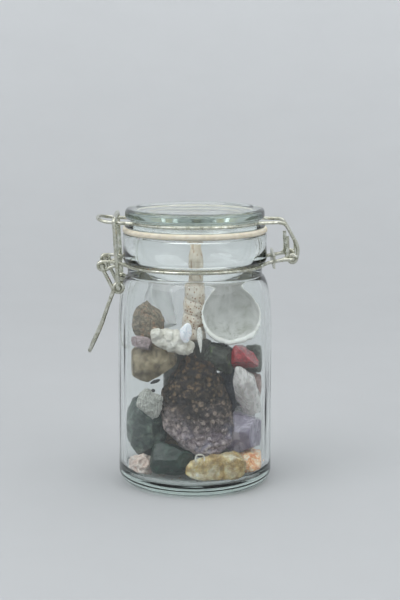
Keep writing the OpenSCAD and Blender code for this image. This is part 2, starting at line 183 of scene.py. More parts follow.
def adopt(mesh, name, body, slot_name, *nodes, look):
    """A finished mesh becomes a named piece that rides on a body and stands for CAD nodes, if any."""
    piece = bpy.data.objects.new(name, mesh)
    bpy.context.scene.collection.objects.link(piece)
    mesh.materials.clear()
    mesh.materials.append(look)
    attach(piece, body)
    if nodes:
        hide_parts(*nodes)
    return piece


def worked(mesh, *steps):
    """A new mesh: the given one after modifiers, each a (kind, settings) pair. The given one is used up."""
    mesh.materials.clear()
    draft = bpy.data.objects.new("draft", mesh)
    bpy.context.scene.collection.objects.link(draft)
    for kind, settings in steps:
        step = draft.modifiers.new(kind, kind)
        for key, value in settings.items():
            setattr(step, key, value)
    result = bpy.data.meshes.new_from_object(draft.evaluated_get(bpy.context.evaluated_depsgraph_get()))
    bpy.data.objects.remove(draft)
    bpy.data.meshes.remove(mesh)
    return result


def finer(node, levels):
    """The mesh of a CAD node, rounded off and divided finely enough to carve."""
    return worked(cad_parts[node].data.copy(),
                  ("WELD", {"merge_threshold": WELD_GAP}),
                  ("SUBSURF", {"levels": levels, "render_levels": levels}))


def carve(mesh, shape):
    """Moves every vertex: shape(place, normal) gives its new place, all in millimetres."""
    moved = [shape(v.co / MM, v.normal.copy()) for v in mesh.vertices]
    for v, p in zip(mesh.vertices, moved):
        v.co = p * MM
    mesh.update()
    mesh.shade_smooth()


def breaks(half, count, depth, seed):
    """Flat fracture faces round a stone: pairs of outward direction and distance from its middle."""
    rng = random.Random(seed)
    out = []
    for i in range(count):
        up = 1 - 2 * (i + rng.uniform(0.2, 0.8)) / count
        a = 2.4 * i + rng.uniform(-0.5, 0.5)
        flat = math.sqrt(max(0.0, 1 - up * up))
        d = Vector((flat * math.cos(a), flat * math.sin(a), up))
        reach = Vector((half.x * d.x, half.y * d.y, half.z * d.z)).length
        out.append((d, reach * (1 - depth * rng.uniform(0.35, 1.0))))
    return out


def fractured(p, middle, planes, firmness):
    """A place beyond a fracture face is pulled back towards it."""
    q = p - middle
    for d, reach in planes:
        over = q.dot(d) - reach
        if over > 0:
            q -= d * over * firmness
    return middle + q


def grain(p, size, octaves=3):
    """Smooth random relief with features of about that size."""
    return noise.fractal(p / size, 0.9, 2.1, octaves)


def corners(node):
    """Lowest and highest corner of a node's box."""
    low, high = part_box(node)
    return Vector(low) / MM, Vector(high) / MM


def half_size(node):
    """Middle of a node's box, and half its size each way."""
    low, high = corners(node)
    return (low + high) / 2, (high - low) / 2


# ---------------------------------------------------------------- materials

def tone(r, g, b):
    """A colour as a painter names it, 0 to 255, as the linear light that shaders use."""
    def light(v):
        v /= 255
        return v / 12.92 if v <= 0.04045 else ((v + 0.055) / 1.055) ** 2.4
    return (light(r), light(g), light(b), 1.0)


class Look:
    """Builds one node material. Patterns are in millimetres over the object itself."""

    def __init__(self, name):
        self.material = bpy.data.materials.new(name)
        self.material.use_nodes = True
        self.tree = self.material.node_tree
        self.tree.nodes.clear()
        self.out = self.add("ShaderNodeOutputMaterial")
        place = self.add("ShaderNodeTexCoord").outputs["Object"]
        self.mm = self.add("ShaderNodeVectorMath", {0: place, "Scale": 1 / MM}, operation="SCALE").outputs[0]

    def add(self, kind, inputs=None, **settings):
        node = self.tree.nodes.new(kind)
        for key, value in settings.items():
            setattr(node, key, value)
        for key, value in (inputs or {}).items():
            if isinstance(value, bpy.types.NodeSocket):
                self.tree.links.new(value, node.inputs[key])
            else:
                node.inputs[key].default_value = value
        return node

    def stretched(self, x, y, z, turn=(0, 0, 0)):
        return self.add("ShaderNodeMapping", {"Vector": self.mm, "Scale": (x, y, z),
                                              "Rotation": [math.radians(a) for a in turn]}).outputs[0]

    def noise(self, size, detail=4.0, rough=0.55, warp=0.0, at=None):
        inputs = {"Vector": at or self.mm, "Scale": 1 / size, "Detail": detail, "Roughness": rough,
                  "Distortion": warp}
        return self.add("ShaderNodeTexNoise", inputs).outputs["Fac"]

    def cells(self, size):
        return self.add("ShaderNodeTexVoronoi", {"Vector": self.mm, "Scale": 1 / size}).outputs["Distance"]

    def bands(self, size, warp, at):
        return self.add("ShaderNodeTexWave", {"Vector": at, "Scale": 1 / size, "Distortion": warp,
                                              "Detail": 3.0}).outputs["Fac"]

    def height(self):
        return self.add("ShaderNodeSeparateXYZ", {0: self.mm}).outputs["Z"]

    def ramp(self, factor, *stops):
        node = self.add("ShaderNodeValToRGB", {0: factor})
        marks = node.color_ramp.elements
        while len(marks) < len(stops):
            marks.new(1.0)
        for mark, (at, colour) in zip(marks, stops):
            mark.position = at
            mark.color = colour if isinstance(colour, tuple) else (colour, colour, colour, 1)
        return node.outputs[0]

    def mix(self, factor, a, b, how="MIX"):
        return self.add("ShaderNodeMix", {0: factor, 6: a, 7: b}, data_type="RGBA", blend_type=how).outputs[2]

    def maths(self, how, a, b=0.0):
        return self.add("ShaderNodeMath", {0: a, 1: b}, operation=how).outputs[0]

    def spread(self, value, low, high, to_low, to_high):
        return self.add("ShaderNodeMapRange", {0: value, 1: low, 2: high, 3: to_low, 4: to_high}).outputs[0]

    def bump(self, height, strength, distance=0.2, under=None):
        inputs = {"Height": height, "Strength": strength, "Distance": distance * MM}
        if under:
            inputs["Normal"] = under
        return self.add("ShaderNodeBump", inputs).outputs[0]

    def finish(self, **sockets):
        """Sets the one Principled shader, sockets named with _ for spaces, and gives back the material."""
        shader = self.add("ShaderNodeBsdfPrincipled",
                          {key.replace("_", " "): value for key, value in sockets.items()})
        self.shader = shader.outputs[0]
        self.tree.links.new(self.shader, self.out.inputs["Surface"])
        return self.material

    def let_light_in(self, tint):
        """Lamps shine through onto what is behind, as they do through clear glass."""
        ray = self.add("ShaderNodeLightPath").outputs["Is Shadow Ray"]
        clear = self.add("ShaderNodeBsdfTransparent", {0: tint}).outputs[0]
        both = self.add("ShaderNodeMixShader", {0: ray, 1: self.shader, 2: clear}).outputs[0]
        self.tree.links.new(both, self.out.inputs["Surface"])

    def fill(self, colour, density):
        inside = self.add("ShaderNodeVolumeAbsorption", {"Color": colour, "Density": density}).outputs[0]
        self.tree.links.new(inside, self.out.inputs["Volume"])


def clear_glass(name, settings):
    """Pressed glass: clear, slightly wavy, with a tint that shows where it is thick."""
    look = Look(name)
    wave = look.noise(9.0, 2.0, at=look.stretched(1, 1, 0.25))
    fine = look.bump(look.noise(1.2, 2.0), 0.02, 0.02, look.bump(wave, 0.12, 0.25))
    smear = look.spread(look.noise(14.0, 5.0), 0.45, 0.75, 0.0, 0.05)
    material = look.finish(Base_Color=(0.975, 0.99, 0.985, 1), Roughness=smear, IOR=1.5,
                           Transmission_Weight=1.0, Specular_IOR_Level=0.25, Normal=fine)
    look.let_light_in((0.93, 0.95, 0.945, 1))
    look.fill((*settings.tint, 1), settings.depth)
    return material


def cream_rubber():
    """Soft, slightly cloudy rubber."""
    look = Look("cream_rubber")
    cloud = look.noise(3.0, 5.0)
    colour = look.ramp(cloud, (0.3, tone(206, 196, 176)), (0.7, tone(226, 218, 200)))
    relief = look.bump(look.noise(0.35, 3.0), 0.25, 0.06)
    return look.finish(Base_Color=colour, Roughness=look.spread(cloud, 0.3, 0.7, 0.42, 0.6), Normal=relief,
                       Subsurface_Weight=0.25, Subsurface_Scale=0.002, Subsurface_Radius=(1.0, 0.8, 0.5))


def zinc_wire(name, settings, dullness=0.0):
    """Galvanised wire with duller patches and a few warm stains."""
    look = Look(name)
    zinc = settings.zinc
    dull = look.noise(2.2, 5.0, 0.65)
    dark = tuple(0.62 * c for c in zinc) + (1,)
    warm = (0.34, 0.27, 0.16, 1)
    colour = look.ramp(dull, (0.28, dark), (0.46, (*zinc, 1)), (0.72, (0.78, 0.78, 0.72, 1)))
    stains = look.spread(look.noise(5.0, 6.0, 0.6), 0.6, 0.75, 0.0, 0.28 + dullness)
    colour = look.mix(stains, colour, warm)
    rough = look.spread(dull, 0.3, 0.7, settings.roughness + 0.16 + dullness, settings.roughness - 0.06)
    drawn = look.bump(look.noise(0.12, 2.0), 0.12, 0.02, look.bump(dull, 0.08, 0.04))
    return look.finish(Base_Color=colour, Metallic=1.0, Roughness=rough, Normal=drawn)


def mottled(name, stops, size, rough=(0.35, 0.6), relief=0.5, warp=0.6, coat=0.0, through=0.0, milk=0.0):
    """Stone of cloudy colours. through makes it pass light; milk scatters it."""
    fine = 0.5
    look = Look(name)
    cloud = look.noise(size, 7.0, 0.62, warp)
    colour = look.ramp(cloud, *stops)
    speck = look.noise(fine, 3.0, 0.75)
    patch = look.noise(size * 0.35, 5.0, 0.7)
    colour = look.mix(0.55, colour, look.ramp(patch, (0.36, 0.14), (0.5, 0.5), (0.64, 0.9)), "OVERLAY")
    colour = look.mix(0.4, colour, look.ramp(speck, (0.38, 0.1), (0.5, 0.5), (0.62, 0.95)), "OVERLAY")
    hill = look.bump(cloud, relief * 0.5, 0.4)
    skin = look.bump(speck, relief, 0.08, hill)
    sockets = {"Coat_Weight": coat, "Coat_Roughness": 0.08} if coat else {}
    if through:
        sockets.update(Transmission_Weight=through, IOR=1.52)
    if milk:
        sockets.update(Subsurface_Weight=milk, Subsurface_Scale=0.003, Subsurface_Radius=(1.0, 0.9, 0.8))
    return look.finish(Base_Color=colour, Roughness=look.spread(speck, 0.3, 0.7, rough[1], rough[0]),
                       Normal=skin, **sockets)


def druzy_look():
    """Dark brown at the top, pink and blue grey at the foot, with pale round crystals, painted highlight
    rings round them and painted glints.
    """
    look = Look("druzy")
    low, high = (c.z for c in corners("druzy_stone"))
    drift = look.maths("MULTIPLY", look.noise(9.0, 4.0), 18.0)
    up = look.spread(look.maths("ADD", look.height(), drift), low + 9, high + 9, 0.0, 1.0)
    ground = look.ramp(up, (0.04, tone(158, 146, 156)), (0.22, tone(124, 110, 120)), (0.38, tone(62, 52, 56)),
                       (0.56, tone(18, 13, 12)), (0.9, tone(14, 8, 5)))
    dirt = look.noise(1.3, 6.0, 0.7)
    ground = look.mix(look.spread(dirt, 0.42, 0.66, 0.0, 0.8), ground, tone(14, 10, 9))
    blue = look.spread(look.noise(7.0, 3.0), 0.5, 0.65, 0.0, 0.5)
    ground = look.mix(blue, ground, look.ramp(up, (0.1, tone(118, 128, 158)), (0.5, tone(40, 36, 46))))
    across = look.add("ShaderNodeSeparateXYZ", {0: look.mm}).outputs["X"]
    # Paler pink-white patches towards the lower left of the stone.
    edge = look.spread(look.maths("ADD", across, look.height()), low - 3.3, low + 20.7, 0.85, 0.0)
    pale_patches = look.spread(look.noise(2.2, 5.0, 0.7), 0.4, 0.58, 0.0, 1.0)
    ground = look.mix(look.maths("MULTIPLY", edge, pale_patches), ground, tone(206, 190, 188))
    knob = look.add("ShaderNodeAttribute", attribute_name="knob").outputs["Fac"]
    tips = look.ramp(up, (0.1, tone(246, 238, 238)), (0.32, tone(222, 206, 200)), (0.58, tone(176, 148, 116)),
                     (0.95, tone(140, 106, 66)))
    some = look.spread(look.noise(3.0, 4.0, 0.7), 0.46, 0.6, 0.05, 1.0)
    crown = look.spread(knob, 0.02, 0.36, 0.7, 0.1)
    colour = look.mix(look.maths("MULTIPLY", crown, some), ground, tips)
    # Painted highlight: a pale ring round each knob, in the colour of the crystal tips.
    ring = look.maths("MULTIPLY", look.spread(knob, 0.2, 0.38, 0.0, 0.45),
                      look.spread(knob, 0.4, 0.52, 1.0, 0.0))
    colour = look.mix(look.maths("MULTIPLY", ring, some), colour, tips)
    glint = look.maths("MULTIPLY", look.spread(look.cells(0.8), 0.10, 0.24, 0.8, 0.0),
                       look.spread(look.noise(1.7, 3.0), 0.48, 0.6, 0.0, 1.0))
    colour = look.mix(glint, colour, tips)
    relief = look.bump(look.noise(0.35, 3.0, 0.7), 0.8, 0.12, look.bump(look.noise(1.0, 4.0), 0.5, 0.3))
    return look.finish(Base_Color=colour, Roughness=look.spread(dirt, 0.3, 0.7, 0.45, 0.75), Normal=relief,
                       Specular_IOR_Level=0.35)


def banded_look(name, stops, size, warp, turn):
    """Stone with soft bands and fine streaks that run along one direction."""
    look = Look(name)
    at = look.stretched(1, 1, 1, turn)
    stripes = look.bands(size, warp, at)
    cloud = look.noise(4.0, 6.0)
    streaks = look.noise(2.4, 6.0, 0.7, 1.2, look.stretched(1, 1, 0.22, turn))
    pattern = look.maths("ADD", look.maths("MULTIPLY", stripes, 0.18),
                         look.maths("ADD", look.maths("MULTIPLY", cloud, 0.36),
                                    look.maths("MULTIPLY", streaks, 0.46)))
    colour = look.ramp(pattern, *stops)
    relief = look.bump(look.noise(0.5, 4.0), 0.3, 0.08, look.bump(stripes, 0.2, 0.15))
    return look.finish(Base_Color=colour, Roughness=look.spread(cloud, 0.3, 0.7, 0.5, 0.3), Normal=relief)


def crystal_look(name, core, pale_patches, size, through, roughness, along):
    """Quartz family: clear with milky veils drawn out along the crystal, and a few healed cracks."""
    look = Look(name)
    veil = look.noise(size, 6.0, 0.6, 1.4, look.stretched(*(1 / a for a in along)))
    streak = look.noise(size * 0.3, 5.0, 0.65, 0.6, look.stretched(*(1 / a for a in along)))
    shade = tuple(0.55 * c for c in core[:3]) + (1,)
    colour = look.ramp(veil, (0.34, core), (0.66, pale_patches))
    colour = look.mix(look.spread(streak, 0.56, 0.7, 0.0, 0.4), colour, shade)
    cracks = look.bump(streak, 0.3, 0.15, look.bump(veil, 0.25, 0.3))
    rough = look.spread(veil, 0.35, 0.65, roughness, roughness + 0.3)
    return look.finish(Base_Color=colour, Roughness=rough, IOR=1.45,
                       Transmission_Weight=look.spread(veil, 0.35, 0.7, through, through * 0.4),
                       Normal=cracks, Subsurface_Weight=0.3, Subsurface_Scale=0.004,
                       Subsurface_Radius=(1.0, 0.9, 1.0))


def fibre_look():
    """Silky fibres that run up the crystal."""
    look = Look("selenite")
    at = look.stretched(2.2, 2.2, 0.12, (0, 8, 0))
    thread = look.noise(1.0, 6.0, 0.6, at=at)
    colour = look.ramp(thread, (0.3, tone(118, 120, 114)), (0.5, tone(168, 168, 162)),
                       (0.7, tone(206, 205, 200)))
    return look.finish(Base_Color=colour, Roughness=look.spread(thread, 0.3, 0.7, 0.5, 0.25),
                       Normal=look.bump(thread, 0.7, 0.25), Subsurface_Weight=0.4, Subsurface_Scale=0.003,
                       Subsurface_Radius=(1, 1, 1))


def coral_look():
    """Chalky white, with painted shade in its pores."""
    look = Look("coral")
    pores = look.cells(0.9)
    cloud = look.noise(5.0, 5.0)
    colour = look.ramp(cloud, (0.3, tone(174, 168, 156)), (0.5, tone(204, 200, 191)),
                       (0.75, tone(226, 223, 217)))
    # Painted shade: the pores are darkened where the relief sinks in.
    colour = look.mix(look.spread(pores, 0.0, 0.25, 0.35, 0.0), colour, tone(140, 130, 120))
    relief = look.bump(pores, 0.5, 0.2, look.bump(look.noise(0.4), 0.3, 0.08))
    return look.finish(Base_Color=colour, Roughness=0.85, Normal=relief, Subsurface_Weight=0.2,
                       Subsurface_Scale=0.002, Subsurface_Radius=(1, 0.95, 0.9))


def auger_look():
    """Cream with brown dots, worn and duller towards the point; painted shade in the creases between whorls
    and inside the dent, and a brown ring round the dent.
    """
    look = Look("auger_shell")
    foot = corners("auger_shell")[0].z
    worn = look.noise(6.0, 6.0, 0.6, 0.8)
    colour = look.ramp(worn, (0.30, tone(196, 172, 146)), (0.42, tone(222, 208, 190)),
                       (0.58, tone(236, 229, 218)), (0.8, tone(242, 238, 232)))
    dots = look.spread(look.cells(1.25), 0.24, 0.34, 0.95, 0.0)
    some = look.spread(look.noise(4.0, 3.0), 0.38, 0.5, 0.1, 1.0)
    colour = look.mix(look.maths("MULTIPLY", dots, some), colour, tone(150, 96, 56))
    worn_top = look.spread(look.height(), foot + 14, foot + 34, 0.0, 0.62)
    dull = look.ramp(look.noise(2.0, 5.0), (0.3, tone(128, 112, 88)), (0.7, tone(170, 160, 142)))
    colour = look.mix(worn_top, colour, dull)
    crease_shade_and_ring = look.add("ShaderNodeAttribute", attribute_name="crease_shade_and_ring").outputs["Fac"]
    # Painted shade in the creases between whorls and inside the dent, and the brown ring round the dent.
    colour = look.mix(crease_shade_and_ring, colour, tone(104, 76, 52))
    relief = look.bump(look.noise(0.5, 5.0, 0.7), 0.5, 0.12, look.bump(worn, 0.3, 0.3))
    return look.finish(Base_Color=colour, Roughness=look.spread(worn, 0.3, 0.7, 0.6, 0.3), Normal=relief,
                       Coat_Weight=0.3, Coat_Roughness=0.12)


def cup_look():
    """White rim and outside like porcelain, pale grey with greenish clouds inside."""
    look = Look("cup_shell")
    foot = corners("cup_shell")[0].z
    depth = look.add("ShaderNodeAttribute", attribute_name="hollow").outputs["Fac"]
    cloud = look.noise(7.0, 5.0, 0.6, 0.6)
    chalk = look.ramp(cloud, (0.3, tone(212, 210, 204)), (0.7, tone(240, 240, 238)))
    inside = look.ramp(cloud, (0.30, tone(172, 173, 164)), (0.48, tone(202, 202, 199)),
                       (0.72, tone(222, 221, 219)))
    moss = look.spread(look.noise(2.2, 6.0, 0.7), 0.54, 0.64, 0.0, 0.6)
    low = look.spread(look.height(), foot + 4, foot + 12, 1.0, 0.0)
    inside = look.mix(look.maths("MULTIPLY", moss, low), inside, tone(104, 108, 84))
    ragged = look.maths("ADD", depth, look.maths("MULTIPLY", look.noise(3.0), 0.18))
    fade = look.spread(ragged, 0.22, 0.42, 0, 1)
    chalk = look.mix(look.spread(look.height(), foot + 12, foot + 24, 0.0, 0.7), chalk, inside)
    colour = look.mix(fade, chalk, inside)
    relief = look.bump(look.noise(0.6, 4.0), 0.25, 0.08)
    return look.finish(Base_Color=colour, Roughness=look.spread(cloud, 0.3, 0.7, 0.28, 0.45), Normal=relief,
                       Coat_Weight=0.4, Coat_Roughness=0.12)


def moss_look():
    """Dark stone with patches of dull green."""
    look = Look("moss_stone")
    cloud = look.noise(4.0, 7.0, 0.65)
    stone = look.ramp(cloud, (0.3, tone(30, 32, 30)), (0.55, tone(58, 62, 54)), (0.8, tone(104, 106, 94)))
    patch = look.spread(look.noise(3.5, 4.0, 0.6), 0.56, 0.66, 0.0, 0.9)
    moss = look.ramp(look.noise(0.8, 5.0), (0.3, tone(54, 72, 42)), (0.7, tone(102, 124, 76)))
    colour = look.mix(patch, stone, moss)
    relief = look.bump(look.noise(0.6, 5.0, 0.7), 0.6, 0.2)
    return look.finish(Base_Color=colour, Roughness=look.spread(patch, 0, 1, 0.4, 0.85), Normal=relief)


def rose_look():
    """Pale pink and white, like a barnacle."""
    look = Look("rose_shell")
    cloud = look.noise(2.2, 6.0, 0.6)
    colour = look.ramp(cloud, (0.3, tone(158, 128, 118)), (0.48, tone(206, 186, 176)),
                       (0.7, tone(236, 228, 222)))
    return look.finish(Base_Color=colour, Roughness=0.6, Normal=look.bump(look.noise(0.4, 4.0), 0.5, 0.12),
                       Subsurface_Weight=0.1, Subsurface_Scale=0.001, Subsurface_Radius=(1, 0.8, 0.7))


# ---------------------------------------------------------------- pieces

def show_glass():
    """The jar: raised base, rounded heel, straight wall, shoulder, neck groove and collar, in one outline."""
    glass = bpy.context.scene.jar_glass
    look = clear_glass("jar_glass", glass)
    wall = glass.wall / MM
    inner = BODY_R - wall
    heel, neck, collar, mouth = 6.5, BODY_R - 5, BODY_R - 2.8, BODY_R - 8.2
    floor, shoulder_z, neck_z, collar_z, lip = 5.5, 75.0, 103.5, 110.4, 1.1
    ring_in, ring_out = BODY_R - 9, BODY_R - heel
    outline = [(0, 1.3), (ring_in - 3, 1.3), (ring_in - 2, 1.2), (ring_in - 0.6, 0.35), (ring_in, 0.05)]
    outline += straight((ring_in, 0), (ring_out, 0), 4)
    outline += arc(ring_out, heel, heel, -88, 0, 16)
    outline += straight((BODY_R, heel), (BODY_R, shoulder_z), 24)
    outline += shoulder(BODY_R, shoulder_z, neck, neck_z, 26)
    outline += arc(neck + 0.8, neck_z + 1.2, 0.8, 200, 180, 3)
    outline += arc(neck + 0.8, collar_z - 1.4, 0.8, 180, 110, 4)
    outline += arc(collar - 1.6, collar_z + 1.4, 1.6, -70, 0, 8)
    outline += straight((collar, collar_z + 1.4), (collar, RIM_Z - lip), 6)
    outline += arc(collar - lip, RIM_Z - lip, lip, 0, 90, 6)
    outline += arc(mouth + lip, RIM_Z - lip, lip, 90, 180, 6)
    outline += list(reversed(shoulder(inner, shoulder_z - 1, mouth, neck_z + 1, 26)))
    corner_r, corner_z = inner - FLOOR_CORNER, floor + FLOOR_CORNER
    outline += straight((inner, shoulder_z - 1), (inner, corner_z), 24)
    outline += arc(corner_r, corner_z, FLOOR_CORNER, 0, -90, 14)
    outline += [(corner_r * (1 - t), floor + 0.9 * ease(t)) for t in (0.15, 0.3, 0.45, 0.6, 0.8, 1)]
    ripple = glass.ripple / MM

    def wave(r, a, z):
        """The pressed wall sways and flutes a little, but not at its base or neck."""
        still = neck_z - 3.5
        if r < BODY_R * 0.5 or z > still:
            return r
        calm = ease((z - 4) / 14) * ease((still - z) / 24)
        side = Vector((math.cos(a), math.sin(a), 0))
        inside = r < BODY_R - wall * 0.5
        sway = noise.noise(side * 3.4 + Vector((0, 0, z / 46 + (7 if inside else 0))))
        flute = noise.noise(side * 9 + Vector((0, 0, z / 90 + (31 if inside else 12))))
        if inside:
            return r + calm * ripple * (2.4 * sway + 1.1 * flute)
        return r + calm * ripple * (0.5 * sway + 0.2 * flute - 0.4)

    make_piece("jar_glass", *lathe(outline, 192, wave), "jar", "jar_glass", "jar_body", look=look)
    show_lid(look)


def show_lid(look):
    """The lid: sunk top plate, rolled rim, waist for its wire, flange and hollow plug, in one outline."""
    top, rim = LID_HIGH.z, LID_RIM
    ring_z = 130.0
    flange_z = GASKET_HIGH.z + 0.05
    waist, plug = rim - 2.5, rim - 6.5
    low = LID_LOW.z
    plate = rim - 6.5
    outline = [(r, top - 1.4 + 0.3 * (r / plate) ** 2) for r in (0, 6, 12, 18, 23, rim - 8, plate)]
    outline += [(rim - 5.9, top - 0.85), (rim - 5.2, top - 0.3), (rim - 4.6, top - 0.06), (rim - 4, top)]
    outline += arc(rim - 2, top - 2, 2, 88, 0, 10)
    outline += arc(rim - 1.2, ring_z + 2.6, 1.2, 0, -84, 8)
    outline += arc(waist + 0.5, ring_z + 0.9, 0.5, 90, 180, 4)
    outline += arc(waist + 0.5, ring_z - 0.8, 0.5, 180, 270, 4)
    outline += [(rim - 0.4, ring_z - 1.36), (rim, ring_z - 1.6), (rim + 0.25, ring_z - 2.1)]
    outline += [(rim + 0.1, flange_z), (plug, flange_z)]
    outline += [(plug, low + 1.2), (plug - 0.3, low + 0.35), (plug - 1, low), (plug - 2.2, low)]
    hollow_r, hollow_z = plug - 5.4, ring_z - 1.4
    outline += [(plug - 2.9, low + 0.5), (plug - 3.7, hollow_z - 1.2), (plug - 4.4, hollow_z - 0.3)]
    outline += [(hollow_r, hollow_z)]
    outline += [(hollow_r * (1 - t), hollow_z + 0.5 * ease(t)) for t in (0.25, 0.5, 0.75, 1)]
    make_piece("lid_glass", *lathe(outline, 160), "lid", "lid_glass", "glass_lid", look=look)


def show_gasket():
    """The rubber ring, round-edged outside and slightly uneven."""
    outer, inner = GASKET_HIGH.x, LID_RIM - 6.4
    low, high = GASKET_LOW.z, GASKET_HIGH.z
    edge = 1.25
    outline = [(inner, low), (lerp(inner, outer, 0.5), low)]
    outline += arc(outer - edge, low + edge, edge, -90, -10, 6)
    outline += arc(outer - edge, high - edge, edge, 10, 90, 6)
    outline += [(lerp(inner, outer, 0.5), high), (inner, high)]

    def wave(r, a, z):
        side = Vector((math.cos(a), math.sin(a), 0))
        return r + 0.14 * noise.noise(side * 5 + Vector((0, 0, z / 6))) * ease((r - inner) / 3)

    make_piece("rubber_ring", *lathe(outline, 192, wave), "lid", "gasket_rubber", "gasket",
               look=cream_rubber())


def show_wires():
    """The wires and their clip keep their CAD shape and get a zinc finish."""
    settings = bpy.context.scene.jar_wire
    zinc = zinc_wire("zinc_wire", settings)
    clip = zinc_wire("clip_steel", settings, 0.1)
    for node in ("lid_wire", "neck_wire", "lever", "pull_loop", "band_clip"):
        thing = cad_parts[node]
        thing.data.materials.clear()
        thing.data.materials.append(clip if node == "band_clip" else zinc)


def fitted(mesh, node):
    """Brings a carved stone back to the size of its CAD node, side by side."""
    low, high = corners(node)
    least = [min(v.co[i] for v in mesh.vertices) / MM for i in range(3)]
    most = [max(v.co[i] for v in mesh.vertices) / MM for i in range(3)]
    scale = [(high[i] - low[i]) / (most[i] - least[i]) for i in range(3)]
    for v in mesh.vertices:
        v.co = Vector([(low[i] + (v.co[i] / MM - least[i]) * scale[i]) * MM for i in range(3)])
    mesh.update()


def rock(node, slot_name, look, cuts, depth, seed, firm=0.9, lumps=0.5, lump_size=6.0, skin=0.12,
         levels=None, slices=(), box=0.0):
    """A stone carved from its CAD lump: flat fractures, then rolling lumps, then a fine skin.

    cuts and depth say how many fracture faces there are and how deep they go, slices adds chosen ones as
    (direction, distance) pairs, firm is how flat they are, and box squares the stone off.
    """
    levels = levels or bpy.context.scene.jar_contents.detail
    mesh = finer(node, levels)
    middle, half = half_size(node)
    planes = [(Vector(d).normalized(), reach) for d, reach in slices] + breaks(half, cuts, depth, seed)
    shift = Vector((seed * 13.7, seed * 5.1, seed * 2.3))

    def shape(p, n):
        if box:
            part = [(p[i] - middle[i]) / half[i] for i in range(3)]
            part = [math.copysign(abs(q) ** (1 - box), q) for q in part]
            p = Vector([middle[i] + half[i] * part[i] for i in range(3)])
        q = fractured(p, middle, planes, firm)
        q = q + n * (lumps * grain(q + shift, lump_size) - lumps * 0.5)
        return q + n * skin * grain(q + shift, 1.2, 4)

    carve(mesh, shape)
    fitted(mesh, node)
    return adopt(mesh, node + "_rock", "jar", slot_name, node, look=look)


def show_rough_stones():
    rock("brown_stone", "brown_stone", mottled(
        "brown_stone", [(0.3, tone(70, 64, 54)), (0.44, tone(110, 102, 88)), (0.54, tone(134, 124, 108)),
                        (0.62, tone(146, 116, 94)), (0.74, tone(190, 180, 164))], 3.2, relief=0.8,
        rough=(0.5, 0.8)), cuts=14, depth=0.26, lumps=0.8, lump_size=5, seed=3,
         slices=[((0.72, -0.1, 0.69), 4.6), ((-0.5, 0, 0.86), 7.6)])
    rock("lilac_chip", "lilac", mottled(
        "lilac", [(0.3, tone(124, 108, 110)), (0.7, tone(172, 156, 158))], 2.0, rough=(0.4, 0.6)),
         cuts=8, depth=0.25, lumps=0.3, lump_size=2, seed=4, levels=3)
    rock("banded_stone", "banded_stone", banded_look(
        "banded_stone", [(0.38, tone(52, 48, 36)), (0.46, tone(98, 92, 70)), (0.53, tone(138, 112, 80)),
                         (0.6, tone(182, 172, 146))], 2.2, 6.0, (20, 50, 0)), cuts=9, depth=0.12, lumps=0.5,
         lump_size=9, skin=0.1, seed=5, slices=[((0.55, -0.1, -0.84), 7.0), ((-1, -0.1, 0), 9.4)])
    rock("moss_stone", "moss_stone", moss_look(), cuts=14, depth=0.22, lumps=1.0, seed=6)
    rock("slate_stone", "slate", mottled(
        "slate", [(0.3, tone(34, 37, 46)), (0.6, tone(58, 64, 76)), (0.85, tone(92, 98, 108))], 5.0,
        rough=(0.3, 0.5), relief=0.4), cuts=12, depth=0.22, lumps=0.8, seed=7)
    rock("grey_stone", "grey_stone", mottled(
        "grey_stone", [(0.3, tone(62, 68, 60)), (0.6, tone(92, 98, 88)), (0.8, tone(128, 130, 118))], 3.0,
        rough=(0.4, 0.65)), cuts=8, depth=0.14, lumps=0.4, seed=8)
    rock("pink_stone", "pink_stone", mottled(
        "pink_stone", [(0.3, tone(112, 88, 84)), (0.55, tone(158, 132, 126)),
                       (0.8, tone(200, 184, 178))], 4.0, rough=(0.45, 0.7), milk=0.2),
         cuts=12, depth=0.2, lumps=0.7, seed=23)
    rock("back_tan_stone", "tan_stone", mottled(
        "tan_stone", [(0.3, tone(96, 82, 66)), (0.55, tone(136, 120, 100)), (0.8, tone(176, 162, 140))], 6.0,
        rough=(0.5, 0.75), relief=0.8), cuts=16, depth=0.2, lumps=1.2, lump_size=9, seed=9)
    rock("back_grey_stone", "back_grey", mottled(
        "back_grey", [(0.34, tone(62, 62, 66)), (0.5, tone(104, 104, 106)), (0.64, tone(168, 166, 162))], 5.0,
        warp=2.0, rough=(0.4, 0.7)), cuts=16, depth=0.2, lumps=1.0, lump_size=9, seed=10)


